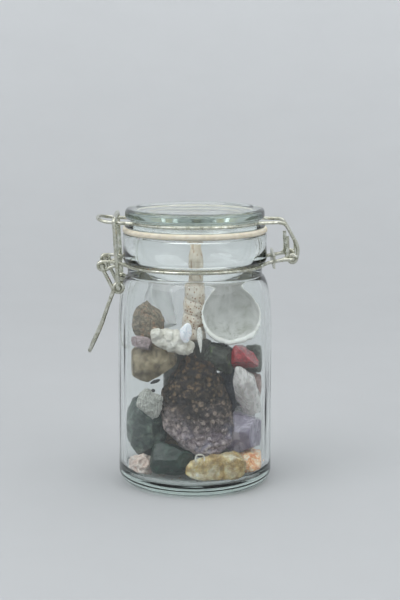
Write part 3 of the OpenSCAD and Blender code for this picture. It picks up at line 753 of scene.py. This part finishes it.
def show_polished_stones():
    """The stones that are tumbled smooth."""
    rock("red_jasper", "jasper", mottled(
        "jasper", [(0.25, tone(96, 20, 28)), (0.48, tone(142, 32, 42)), (0.68, tone(168, 54, 60)),
                   (0.85, tone(204, 120, 114))], 3.0, rough=(0.15, 0.3), relief=0.15, coat=0.6),
         cuts=9, depth=0.12, lumps=0.3, seed=11,
         slices=[((0.72, -0.2, 0.66), 1.6), ((-1, -0.1, 0.05), 6.0), ((0, 0, -1), 5.4)])
    rock("green_slab", "green_slab", mottled(
        "green_slab", [(0.32, tone(20, 34, 30)), (0.46, tone(44, 60, 54)), (0.58, tone(74, 88, 80)),
                       (0.72, tone(120, 128, 118))], 4.2, rough=(0.3, 0.5), relief=0.3, coat=0.15),
         cuts=12, depth=0.18, lumps=0.6, seed=12)
    rock("bottle_green_stone", "bottle_green", mottled(
        "bottle_green", [(0.3, tone(8, 26, 20)), (0.55, tone(20, 46, 37)), (0.8, tone(54, 84, 71))], 5.0,
        rough=(0.25, 0.45), relief=0.25, coat=0.2), cuts=12, depth=0.2, lumps=0.8, lump_size=8, seed=13)
    rock("back_green_stone", "back_green", mottled(
        "back_green", [(0.3, tone(38, 38, 34)), (0.55, tone(64, 64, 56)), (0.8, tone(104, 102, 90))], 7.0,
        rough=(0.25, 0.5), relief=0.4), cuts=16, depth=0.2, lumps=1.2, lump_size=10, seed=14)
    rock("agate_chunk", "agate", mottled(
        "agate", [(0.34, tone(204, 116, 64)), (0.46, tone(232, 166, 112)), (0.56, tone(244, 214, 180)),
                  (0.66, tone(250, 244, 232))], 3.4, warp=1.6, rough=(0.25, 0.45), relief=0.4, milk=0.3),
         cuts=9, depth=0.16, lumps=0.8, seed=15)


def show_crystals():
    """The stones that let light in."""
    rock("calcite_chunk", "calcite", mottled(
        "calcite", [(0.3, tone(150, 116, 66)), (0.44, tone(188, 162, 110)), (0.56, tone(206, 192, 158)),
                    (0.72, tone(228, 224, 212))], 9.0, warp=1.0, rough=(0.18, 0.4), relief=0.35, through=0.2,
        milk=0.5), cuts=5, depth=0.08, lumps=0.8, lump_size=7, seed=16, box=0.25)
    rock("amethyst", "amethyst", crystal_look(
        "amethyst", tone(146, 132, 160), tone(212, 206, 218), 9.0, 0.5, 0.12, (0.7, 0.7, 1.6)),
         cuts=11, depth=0.24, firm=0.99, lumps=0.15, skin=0.04, seed=17)
    rock("clear_chunk", "clear_chunk", crystal_look(
        "clear_chunk", tone(232, 234, 235), tone(246, 247, 247), 14.0, 0.85, 0.3, (1, 1, 2.4)),
         cuts=6, depth=0.10, firm=0.99, lumps=0.1, skin=0.02, seed=19)
    rock("selenite", "selenite", fibre_look(), cuts=10, depth=0.22, lumps=0.7, lump_size=4, skin=0.3, seed=20,
         slices=[((-0.74, 0, -0.67), 4.0)])
    show_quartz()


def show_quartz():
    """A six-sided point: crisp faces, worn edges and fine steps across the faces."""
    mesh = worked(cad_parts["quartz_point"].data.copy(),
                  ("WELD", {"merge_threshold": WELD_GAP}),
                  ("DECIMATE", {"decimate_type": "DISSOLVE", "angle_limit": math.radians(2)}),
                  ("BEVEL", {"width": 0.7 * MM, "segments": 3}),
                  ("TRIANGULATE", {"min_vertices": 4}),
                  ("SUBSURF", {"subdivision_type": "SIMPLE", "levels": 5, "render_levels": 5}))

    def shape(p, n):
        steps = noise.noise(Vector((p.x / 9, p.y / 9, p.z / 1.1)))
        return p + n * (0.10 * steps + 0.10 * grain(p, 5.0) + 0.03 * grain(p, 0.9))

    carve(mesh, shape)
    look = crystal_look("quartz", tone(226, 219, 218), tone(250, 247, 246), 6.0, 0.5, 0.12, (0.7, 0.7, 2.0))
    adopt(mesh, "quartz_point_crystal", "jar", "quartz", "quartz_point", look=look)


def show_druzy():
    """The big knobbly stone: rounded bumps all over, packed as cells, on a rolling surface."""
    mesh = finer("druzy_stone", 5)
    middle, half = half_size("druzy_stone")
    foot = [((-0.66, -0.2, -0.72), 17.5), ((0.75, -0.2, -0.62), 21.0), ((-0.8, 0, 0.6), 18.0),
            ((0.93, 0, 0.37), 13.0)]
    planes = [(Vector(d).normalized(), reach) for d, reach in foot] + breaks(half, 10, 0.12, 2)

    def shape(p, n):
        q = fractured(p, middle, planes, 0.7)
        q = q + n * (1.1 * grain(q, 8.0) - 0.9)
        knob = math.sqrt(max(0.0, 1 - (noise.voronoi(q / KNOB)[0][0] / 0.66) ** 2))
        return q + n * (0.75 * knob + 0.2 * grain(q, 0.8))

    near = []

    def shape_and_note(p, n):
        near.append(noise.voronoi(fractured(p, middle, planes, 0.7) / KNOB)[0][0])
        return shape(p, n)

    carve(mesh, shape_and_note)
    fitted(mesh, "druzy_stone")
    mesh.attributes.new("knob", "FLOAT", "POINT").data.foreach_set("value", near)
    adopt(mesh, "druzy_rock", "jar", "druzy", "druzy_stone", look=druzy_look())


def show_coral():
    """A lumpy branch of bleached coral: balls run together and pitted all over."""
    middle, half = half_size("white_coral")
    rng = random.Random(21)
    bm = bmesh.new()
    balls = 26
    for i in range(balls):
        t = (i + 0.5) / balls
        away = Vector((lerp(-0.9, 0.88, t), rng.uniform(-0.6, 0.6),
                       rng.uniform(-0.45, 0.45) + lerp(0.45, -0.5, t)))
        r = rng.uniform(2.3, 4.3) * (1.0 - 0.25 * abs(away.x))
        at = middle + Vector((away.x * (half.x - r), away.y * (half.y - r), away.z * (half.z - r)))
        bmesh.ops.create_icosphere(bm, subdivisions=3, radius=r * MM, matrix=Matrix.Translation(at * MM))
    mesh = bpy.data.meshes.new("coral")
    bm.to_mesh(mesh)
    bm.free()
    solid = worked(mesh, ("REMESH", {"mode": "VOXEL", "voxel_size": 0.32 * MM}),
                   ("SMOOTH", {"factor": 0.6, "iterations": 4}))

    def shape(p, n):
        bead = noise.voronoi(p / 1.7)[0][0]
        return p + n * (0.5 * grain(p, 2.5) + 0.45 * (1 - ease(bead / 0.7)))

    carve(solid, shape)
    adopt(solid, "coral_branch", "jar", "coral", "white_coral", look=coral_look())


def show_auger():
    """A worn spiral shell, point up: whorls wind round a tapering core, with ribs along them."""
    low, high = corners("auger_shell")
    foot = Vector(((low.x + high.x) / 2 - 0.1, (low.y + high.y) / 2, low.z))
    tip = foot + Vector((1.2, 0, high.z - low.z - 0.3))
    long, turns, whorls, rings = (tip - foot).length, 72, 7.0, 260
    axis = (tip - foot).normalized()
    across = Vector((0, 1, 0)).cross(axis).normalized()
    forth = axis.cross(across)
    hole = foot + axis * 38.0 - forth * 4.6 + across * 0.6
    verts, crease_shade_and_ring_marks = [foot + axis * 0.3], [1.0]
    for i in range(rings):
        t = (i + 1) / (rings + 1)
        for k in range(turns):
            a = 2 * math.pi * k / turns
            whorl = (whorls * t ** 0.86 + a / (2 * math.pi)) % 1.0
            r = lerp(6.5, 4.0, t) * (0.90 + 0.10 * math.sin(math.pi * whorl) ** 0.6)
            r *= (ease(t / 0.03) * 0.45 + 0.55) * math.sqrt(1.0001 - max(0.0, (t - 0.88) / 0.12) ** 2)
            out = across * math.cos(a) + forth * math.sin(a)
            at = foot + axis * long * t + out * r
            rib = 0.09 * math.sin(24 * a + 3 * whorl) * lerp(1, 0.3, t)
            bead = 0.16 * math.exp(-((whorl - 0.12) / 0.06) ** 2) * math.sin(18 * a)
            worn = 0.3 * grain(at, 3.0) + 0.12 * grain(at, 0.9)
            ring = (at - hole).length
            dent = 0.8 * ease(1 - ring / 2.2)
            verts.append(at + out * (rib + bead + worn * lerp(1, 0.5, t) - 0.2 - dent))
            # Marks for painted shade in the creases between whorls and inside the dent, and for the brown
            # ring round it.
            crease_shade_and_ring_marks.append(max(0.28 * ease(1 - min(whorl, 1 - whorl) / 0.09),
                             0.9 * ease(1 - abs(ring - 1.9) / 0.6), 0.9 * ease(1 - ring / 0.9)))
    verts.append(tip)
    crease_shade_and_ring_marks.append(0.3)
    faces = [[0, 1 + (k + 1) % turns, 1 + k] for k in range(turns)]
    for i in range(rings - 1):
        for k in range(turns):
            a, b = 1 + i * turns + k, 1 + i * turns + (k + 1) % turns
            faces.append([a, b, b + turns, a + turns])
    last = len(verts) - 1
    faces += [[last, last - turns + k, last - turns + (k + 1) % turns] for k in range(turns)]
    piece = make_piece("auger_whorls", verts, faces, "jar", "auger_shell", "auger_shell", look=auger_look())
    piece.data.attributes.new("crease_shade_and_ring", "FLOAT", "POINT").data.foreach_set("value", crease_shade_and_ring_marks)


def show_cup():
    """An open shell like a small cup, leaning back, with a thick uneven rim and fine ribs outside."""
    low, high = corners("cup_shell")
    rim_r, deep, thick, thin, lean = (high.x - low.x) / 2, 15.0, 2.0, 0.7, math.radians(66)
    middle = Vector(((low.x + high.x) / 2, low.y + rim_r * math.cos(lean), high.z - rim_r * math.sin(lean)))
    seat = Matrix.Translation(middle) @ Matrix.Rotation(lean, 4, "X")
    turns, steps = 160, 40
    verts, hollow, rows = [], [], []
    for inside in (False, True):
        for i in (range(steps, -1, -1) if inside else range(steps + 1)):
            t = i / steps
            a = math.radians(90 * t)
            row = []
            for k in range(turns):
                b = 2 * math.pi * k / turns
                side = Vector((math.cos(b), math.sin(b), 0))
                lip = 0.3 * noise.noise(side * 1.7) + 0.08 * noise.noise(side * 6)
                wall = lerp(thick, thin, ease((side.y + 0.9) / 1.3))
                rib = 0.0 if inside else 0.16 * math.sin(34 * b + 2 * noise.noise(side * 3)) * math.cos(a)
                r = (rim_r - (wall if inside else 0.25)) * math.cos(a) + lip * math.cos(a) + rib
                fat = 0.16 * wall * ease(1 - t * 4)
                r += -fat if inside else fat * 0.4
                z = -(deep - (thick if inside else 0.2)) * math.sin(a) + lip * (1 - t)
                row.append(len(verts))
                verts.append(seat @ Vector((r * math.cos(b), r * math.sin(b), z)))
                hollow.append(ease(t * 3.2) if inside else 0.0)
            rows.append(row)
    faces = []
    closed = rows + [rows[0]]
    merge = {i: tip[0] for tip in (rows[steps], rows[steps + 1]) for i in tip}
    for index, (one, two) in enumerate(zip(closed, closed[1:])):
        if index == steps:
            continue
        for k in range(turns):
            j = (k + 1) % turns
            quad = [merge.get(c, c) for c in (one[k], one[j], two[j], two[k])]
            quad = [c for n, c in enumerate(quad) if c != quad[n - 1]]
            if len(quad) > 2:
                faces.append(quad)
    used = sorted({c for f in faces for c in f})
    place = {old: new for new, old in enumerate(used)}
    faces = [[place[c] for c in f] for f in faces]
    piece = make_piece("cup_shell_half", [verts[c] for c in used], faces, "jar", "cup_shell", "cup_shell",
                       look=cup_look())
    mark = piece.data.attributes.new("hollow", "FLOAT", "POINT")
    mark.data.foreach_set("value", [hollow[c] for c in used])


def show_chips():
    """Small pieces: a splinter of shell, a pearly bead that is a painted reflection, a curl of white shell
    and dark crumbs.
    """
    rng = random.Random(24)
    for name, node, off, half, turn, narrow, slot_name, look in CHIPS:
        bm = bmesh.new()
        bmesh.ops.create_icosphere(bm, subdivisions=4, radius=1.0)
        mesh = bpy.data.meshes.new(name)
        bm.to_mesh(mesh)
        bm.free()
        middle, size = half_size(node)[0] + Vector(off), Vector(half)
        spin = Matrix.Rotation(math.radians(turn), 3, "Y")
        shift = rng.uniform(0, 40)
        for v in mesh.vertices:
            d = v.co.copy()
            taper = lerp(narrow, 1.0, (d.z + 1) / 2)
            uneven = 1 + 0.18 * noise.noise(v.co * 1.6 + Vector((shift, 0, 0)))
            d = Vector((d.x * taper, d.y * taper, d.z)) * uneven
            v.co = (middle + spin @ Vector((d.x * size.x, d.y * size.y, d.z * size.z))) * MM
        mesh.shade_smooth()
        adopt(mesh, name, "jar", slot_name, look=look())
    show_curl()


def show_curl():
    """A curl of white shell, thin at both ends, in front of the calcite."""
    middle = half_size("calcite_chunk")[0] + Vector((-7.5, -6.2, 5.4))
    back = Vector((0, 1, 0))
    steps, sides = 40, 12
    curl = []
    for i in range(steps + 1):
        a = math.radians(lerp(-70, 230, i / steps))
        off = Vector((2.0 * math.cos(a), 0.4 * math.sin(3 * a), 2.4 * math.sin(a)))
        curl.append((middle + off, 0.42 * math.sin(math.pi * min(max(i / steps, 0.06), 0.94)) ** 0.5))
    verts, faces = [], []
    for i, (p, r) in enumerate(curl):
        ahead = (curl[min(i + 1, steps)][0] - curl[max(i - 1, 0)][0]).normalized()
        side = ahead.cross(back).normalized()
        for k in range(sides):
            b = 2 * math.pi * k / sides
            verts.append(p + (side * math.cos(b) + back * math.sin(b)) * r)
            if i:
                now, following = sides * i + k, sides * i + (k + 1) % sides
                faces.append([now - sides, following - sides, following, now])
    faces += [list(range(sides)), list(range(sides * steps, sides * (steps + 1)))]
    make_piece("shell_curl", verts, faces, "jar", "cup_shell", look=coral_look())


def white_chip_look():
    return mottled("white_chip", [(0.3, tone(214, 212, 206)), (0.7, tone(244, 243, 240))], 2.0,
                   rough=(0.25, 0.4), relief=0.2, coat=0.5)


# Painted reflection: a glossy bluish-white bead put where the spiral shell shows a reflection.
def reflection_bead_look():
    return mottled("painted_reflection_pearl", [(0.3, tone(206, 214, 226)), (0.5, tone(238, 240, 246)),
                             (0.7, tone(226, 214, 220))], 2.5, rough=(0.08, 0.2), relief=0.1, coat=1.0)


def crumb_look():
    return mottled("dark_crumb", [(0.3, tone(14, 13, 14)), (0.7, tone(46, 44, 44))], 1.0, rough=(0.4, 0.7))


# name, the node it lies against, place from that node's middle, half size, turn, narrowing, slot, look
CHIPS = [
    ("shell_splinter", "white_coral", (12.7, 1.4, 0.0), (1.5, 0.7, 6.0), -4, 0.35, "auger_shell",
     white_chip_look),
    # This bead is a painted reflection, standing where the spiral shell shows a glossy reflection.
    ("reflection_bead", "white_coral", (6.1, -4.7, 4.4), (2.7, 1.4, 4.6), 8, 1.0, "cup_shell", reflection_bead_look),
    ("dark_crumb_a", "banded_stone", (0.9, -13.0, -7.5), (2.2, 0.7, 0.8), -24, 1.0, "moss_stone", crumb_look),
    ("dark_crumb_b", "banded_stone", (0.1, -13.0, -11.9), (0.9, 0.7, 0.8), 10, 1.0, "moss_stone", crumb_look)]


def show_rose():
    """A small ridged shell, rounded, with rows of ridges that meet at a mouth facing forward and up."""
    mesh = finer("rose_shell", 4)
    middle = half_size("rose_shell")[0]
    mouth = Vector((0.25, -0.8, 0.5)).normalized()
    across = mouth.orthogonal().normalized()
    forth = mouth.cross(across)

    def shape(p, n):
        d = (p - middle).normalized()
        a = math.atan2(d.dot(forth), d.dot(across))
        open_to = d.dot(mouth)
        ridge = 0.5 * abs(math.sin(7 * a + 1.5 * noise.noise(d * 2))) * math.sqrt(max(0.0, 1 - open_to ** 2))
        pit = 1.2 * ease((open_to - 0.9) / 0.08)
        knob = 0.9 * math.sqrt(max(0.0, 1 - (noise.voronoi(p / 3.4)[0][0] / 0.62) ** 2))
        growth = 0.14 * math.sin(16 * open_to)
        return p + n * (0.6 * ridge + knob - 0.7 + growth + 0.1 * grain(p, 0.8)) - mouth * pit

    carve(mesh, shape)
    adopt(mesh, "rose_shell_ridges", "jar", "rose_shell", "rose_shell", look=rose_look())


def show_grit():
    """Crumbs that have rubbed off the stones and lie on the jar's floor."""
    rng = random.Random(22)
    bm = bmesh.new()
    inner, floor, flat_r = BODY_R - 3 - 1.6, 5.6, 30
    for _ in range(bpy.context.scene.jar_contents.grit):
        r = inner * math.sqrt(rng.uniform(0.55, 0.98)) - 2.5
        a = rng.uniform(math.radians(170), math.radians(370))
        size = rng.uniform(0.25, 0.85)
        climb = max(0.0, FLOOR_CORNER ** 2 - max(0.0, r + size - flat_r) ** 2)
        drop = floor + FLOOR_CORNER - math.sqrt(climb)
        turn = Matrix.Rotation(rng.uniform(0, 6), 4, Vector((rng.random(), rng.random(), rng.random() + 0.1)))
        squeeze = Matrix.Diagonal((1, rng.uniform(0.6, 1), rng.uniform(0.5, 0.9), 1))
        at = Matrix.Translation(Vector((r * math.cos(a), r * math.sin(a), drop + size * 0.75)) * MM)
        bmesh.ops.create_icosphere(bm, subdivisions=1, radius=size * MM, matrix=at @ turn @ squeeze)
    mesh = bpy.data.meshes.new("grit")
    bm.to_mesh(mesh)
    bm.free()
    look = mottled("grit", [(0.3, tone(58, 50, 44)), (0.5, tone(122, 108, 94)),
                            (0.7, tone(196, 188, 176))], 2.0)
    adopt(mesh, "grit_crumbs", "jar", "tan_stone", look=look)


# name, place in metres, width and height in metres, watts
LAMPS = [("window_left", (-1.0, -0.7, 1.1), (1.3, 1.7), 15.4),
         ("overhead", (0.2, 0.1, 1.7), (2.4, 2.4), 29.5),
         ("fill_right", (1.0, -0.9, 0.7), (1.0, 1.2), 5.0)]


def show_stage():
    """A round paper sweep that looks the same from every side, soft lights and the camera."""
    stage = bpy.context.scene.jar_stage
    flat, bend, tall, turns = 450, 1150, 1300, 96
    outline = [(0, 0)] + straight((0, 0), (flat, 0), 8)
    outline += arc(flat, bend, bend, -90, 0, 32) + [(flat + bend, tall)]
    verts, faces = lathe(outline, turns)
    mesh = bpy.data.meshes.new("paper_sweep")
    mesh.from_pydata([tuple(v * MM) for v in verts], [], faces)
    mesh.validate()
    mesh.shade_smooth()
    paper = bpy.data.objects.new("paper_sweep", mesh)
    bpy.context.scene.collection.objects.link(paper)
    look = Look("paper")
    cloud = look.spread(look.noise(60.0, 3.0), 0.3, 0.7, 0.98, 1.0)
    # Painted shade: the paper is darker on the floor and paler up the wall, so the sweep looks evenly lit.
    rise = look.spread(look.height(), 0.0, 700.0, 0.0, 1.0)
    shade = look.ramp(rise, (0.0, (*stage.floor, 1)), (1.0, (*stage.wall, 1)))
    mesh.materials.append(look.finish(Base_Color=look.mix(1.0, shade, cloud, "MULTIPLY"), Roughness=0.9,
                                      Specular_IOR_Level=0.1, Normal=look.bump(look.noise(0.8), 0.05, 0.05)))

    world = bpy.data.worlds.new("soft_room")
    bpy.context.scene.world = world
    world.use_nodes = True
    sky = world.node_tree.nodes["Background"]
    sky.inputs["Color"].default_value = (0.86, 0.88, 0.90, 1)
    sky.inputs["Strength"].default_value = 0.12
    for name, place, size, power in LAMPS:
        lamp = bpy.data.lights.new(name, "AREA")
        lamp.shape = "RECTANGLE"
        lamp.size, lamp.size_y = size
        lamp.energy = power
        lamp.color = (0.97, 0.985, 1.0)
        light = bpy.data.objects.new(name, lamp)
        light.location = place
        light.rotation_euler = (Vector((0, 0, 0.06)) - Vector(place)).to_track_quat("-Z", "Y").to_euler()
        bpy.context.scene.collection.objects.link(light)

    view = bpy.data.cameras.new("camera")
    view.lens = stage.lens
    camera = bpy.data.objects.new("camera", view)
    camera.location = (0, -stage.distance, stage.camera_z)
    aim = Vector((stage.aim_x, 0, stage.aim_z))
    camera.rotation_euler = (aim - camera.location).to_track_quat("-Z", "Y").to_euler()
    bpy.context.scene.collection.objects.link(camera)
    bpy.context.scene.camera = camera
    bpy.context.scene.view_settings.view_transform = "Standard"


# ---------------------------------------------------------------- operators

class JAR_OT_stage(bpy.types.Operator):
    """Paper sweep, soft lights and camera"""
    bl_idname = "jar.stage"
    bl_label = "Stage"

    def execute(self, context):
        show_stage()
        return {"FINISHED"}


class JAR_OT_glass(bpy.types.Operator):
    """The jar and its lid, as two pieces of pressed glass"""
    bl_idname = "jar.glass"
    bl_label = "Glass"

    def execute(self, context):
        show_glass()
        return {"FINISHED"}


class JAR_OT_gasket(bpy.types.Operator):
    """The cream rubber ring under the lid"""
    bl_idname = "jar.gasket"
    bl_label = "Gasket"

    def execute(self, context):
        show_gasket()
        return {"FINISHED"}


class JAR_OT_wires(bpy.types.Operator):
    """Zinc finish of the wires and their clip"""
    bl_idname = "jar.wires"
    bl_label = "Wires"

    def execute(self, context):
        show_wires()
        return {"FINISHED"}


class JAR_OT_rough_stones(bpy.types.Operator):
    """Broken and weathered stones"""
    bl_idname = "jar.rough_stones"
    bl_label = "Rough stones"

    def execute(self, context):
        show_rough_stones()
        return {"FINISHED"}


class JAR_OT_polished_stones(bpy.types.Operator):
    """Tumbled and polished stones"""
    bl_idname = "jar.polished_stones"
    bl_label = "Polished stones"

    def execute(self, context):
        show_polished_stones()
        return {"FINISHED"}


class JAR_OT_crystals(bpy.types.Operator):
    """Quartz, amethyst, calcite, selenite and the clear chunk"""
    bl_idname = "jar.crystals"
    bl_label = "Crystals"

    def execute(self, context):
        show_crystals()
        return {"FINISHED"}


class JAR_OT_druzy(bpy.types.Operator):
    """The big knobbly stone in the middle"""
    bl_idname = "jar.druzy"
    bl_label = "Druzy stone"

    def execute(self, context):
        show_druzy()
        return {"FINISHED"}


class JAR_OT_coral(bpy.types.Operator):
    """The bleached coral"""
    bl_idname = "jar.coral"
    bl_label = "Coral"

    def execute(self, context):
        show_coral()
        return {"FINISHED"}


class JAR_OT_auger(bpy.types.Operator):
    """The tall spiral shell"""
    bl_idname = "jar.auger"
    bl_label = "Auger shell"

    def execute(self, context):
        show_auger()
        return {"FINISHED"}


class JAR_OT_cup(bpy.types.Operator):
    """The open shell like a cup"""
    bl_idname = "jar.cup"
    bl_label = "Cup shell"

    def execute(self, context):
        show_cup()
        return {"FINISHED"}


class JAR_OT_rose(bpy.types.Operator):
    """The small ridged shell"""
    bl_idname = "jar.rose"
    bl_label = "Rose shell"

    def execute(self, context):
        show_rose()
        return {"FINISHED"}


class JAR_OT_chips(bpy.types.Operator):
    """A splinter, a pearly bead that is a painted reflection, a curl of shell and dark crumbs"""
    bl_idname = "jar.chips"
    bl_label = "Chips"

    def execute(self, context):
        show_chips()
        return {"FINISHED"}


class JAR_OT_grit(bpy.types.Operator):
    """Crumbs on the jar's floor"""
    bl_idname = "jar.grit"
    bl_label = "Grit"

    def execute(self, context):
        show_grit()
        return {"FINISHED"}


OPERATORS = [JAR_OT_stage, JAR_OT_glass, JAR_OT_gasket, JAR_OT_wires,
             JAR_OT_rough_stones, JAR_OT_polished_stones, JAR_OT_crystals, JAR_OT_druzy,
             JAR_OT_coral, JAR_OT_auger, JAR_OT_cup, JAR_OT_rose,
             JAR_OT_chips, JAR_OT_grit]


class JAR_PT_panel(bpy.types.Panel):
    """Settings of the jar, and a button for each of its pieces"""
    bl_label = "Jar of stones"
    bl_idname = "JAR_PT_panel"
    bl_space_type = "VIEW_3D"
    bl_region_type = "UI"
    bl_category = "Jar"

    def draw(self, context):
        for name in SETTINGS:
            group = getattr(context.scene, name)
            for key in group.__annotations__:
                self.layout.prop(group, key)
        for kind in OPERATORS:
            self.layout.operator(kind.bl_idname)


def register():
    for kind in [*SETTINGS.values(), *OPERATORS, JAR_PT_panel]:
        bpy.utils.register_class(kind)
    for name, kind in SETTINGS.items():
        setattr(bpy.types.Scene, name, PointerProperty(type=kind))


def unregister():
    for name in SETTINGS:
        delattr(bpy.types.Scene, name)
    for kind in reversed([*SETTINGS.values(), *OPERATORS, JAR_PT_panel]):
        bpy.utils.unregister_class(kind)


def main():
    register()
    for kind in OPERATORS:
        getattr(bpy.ops.jar, kind.bl_idname.split(".")[1])()


if __name__ == "__main__":
    main()
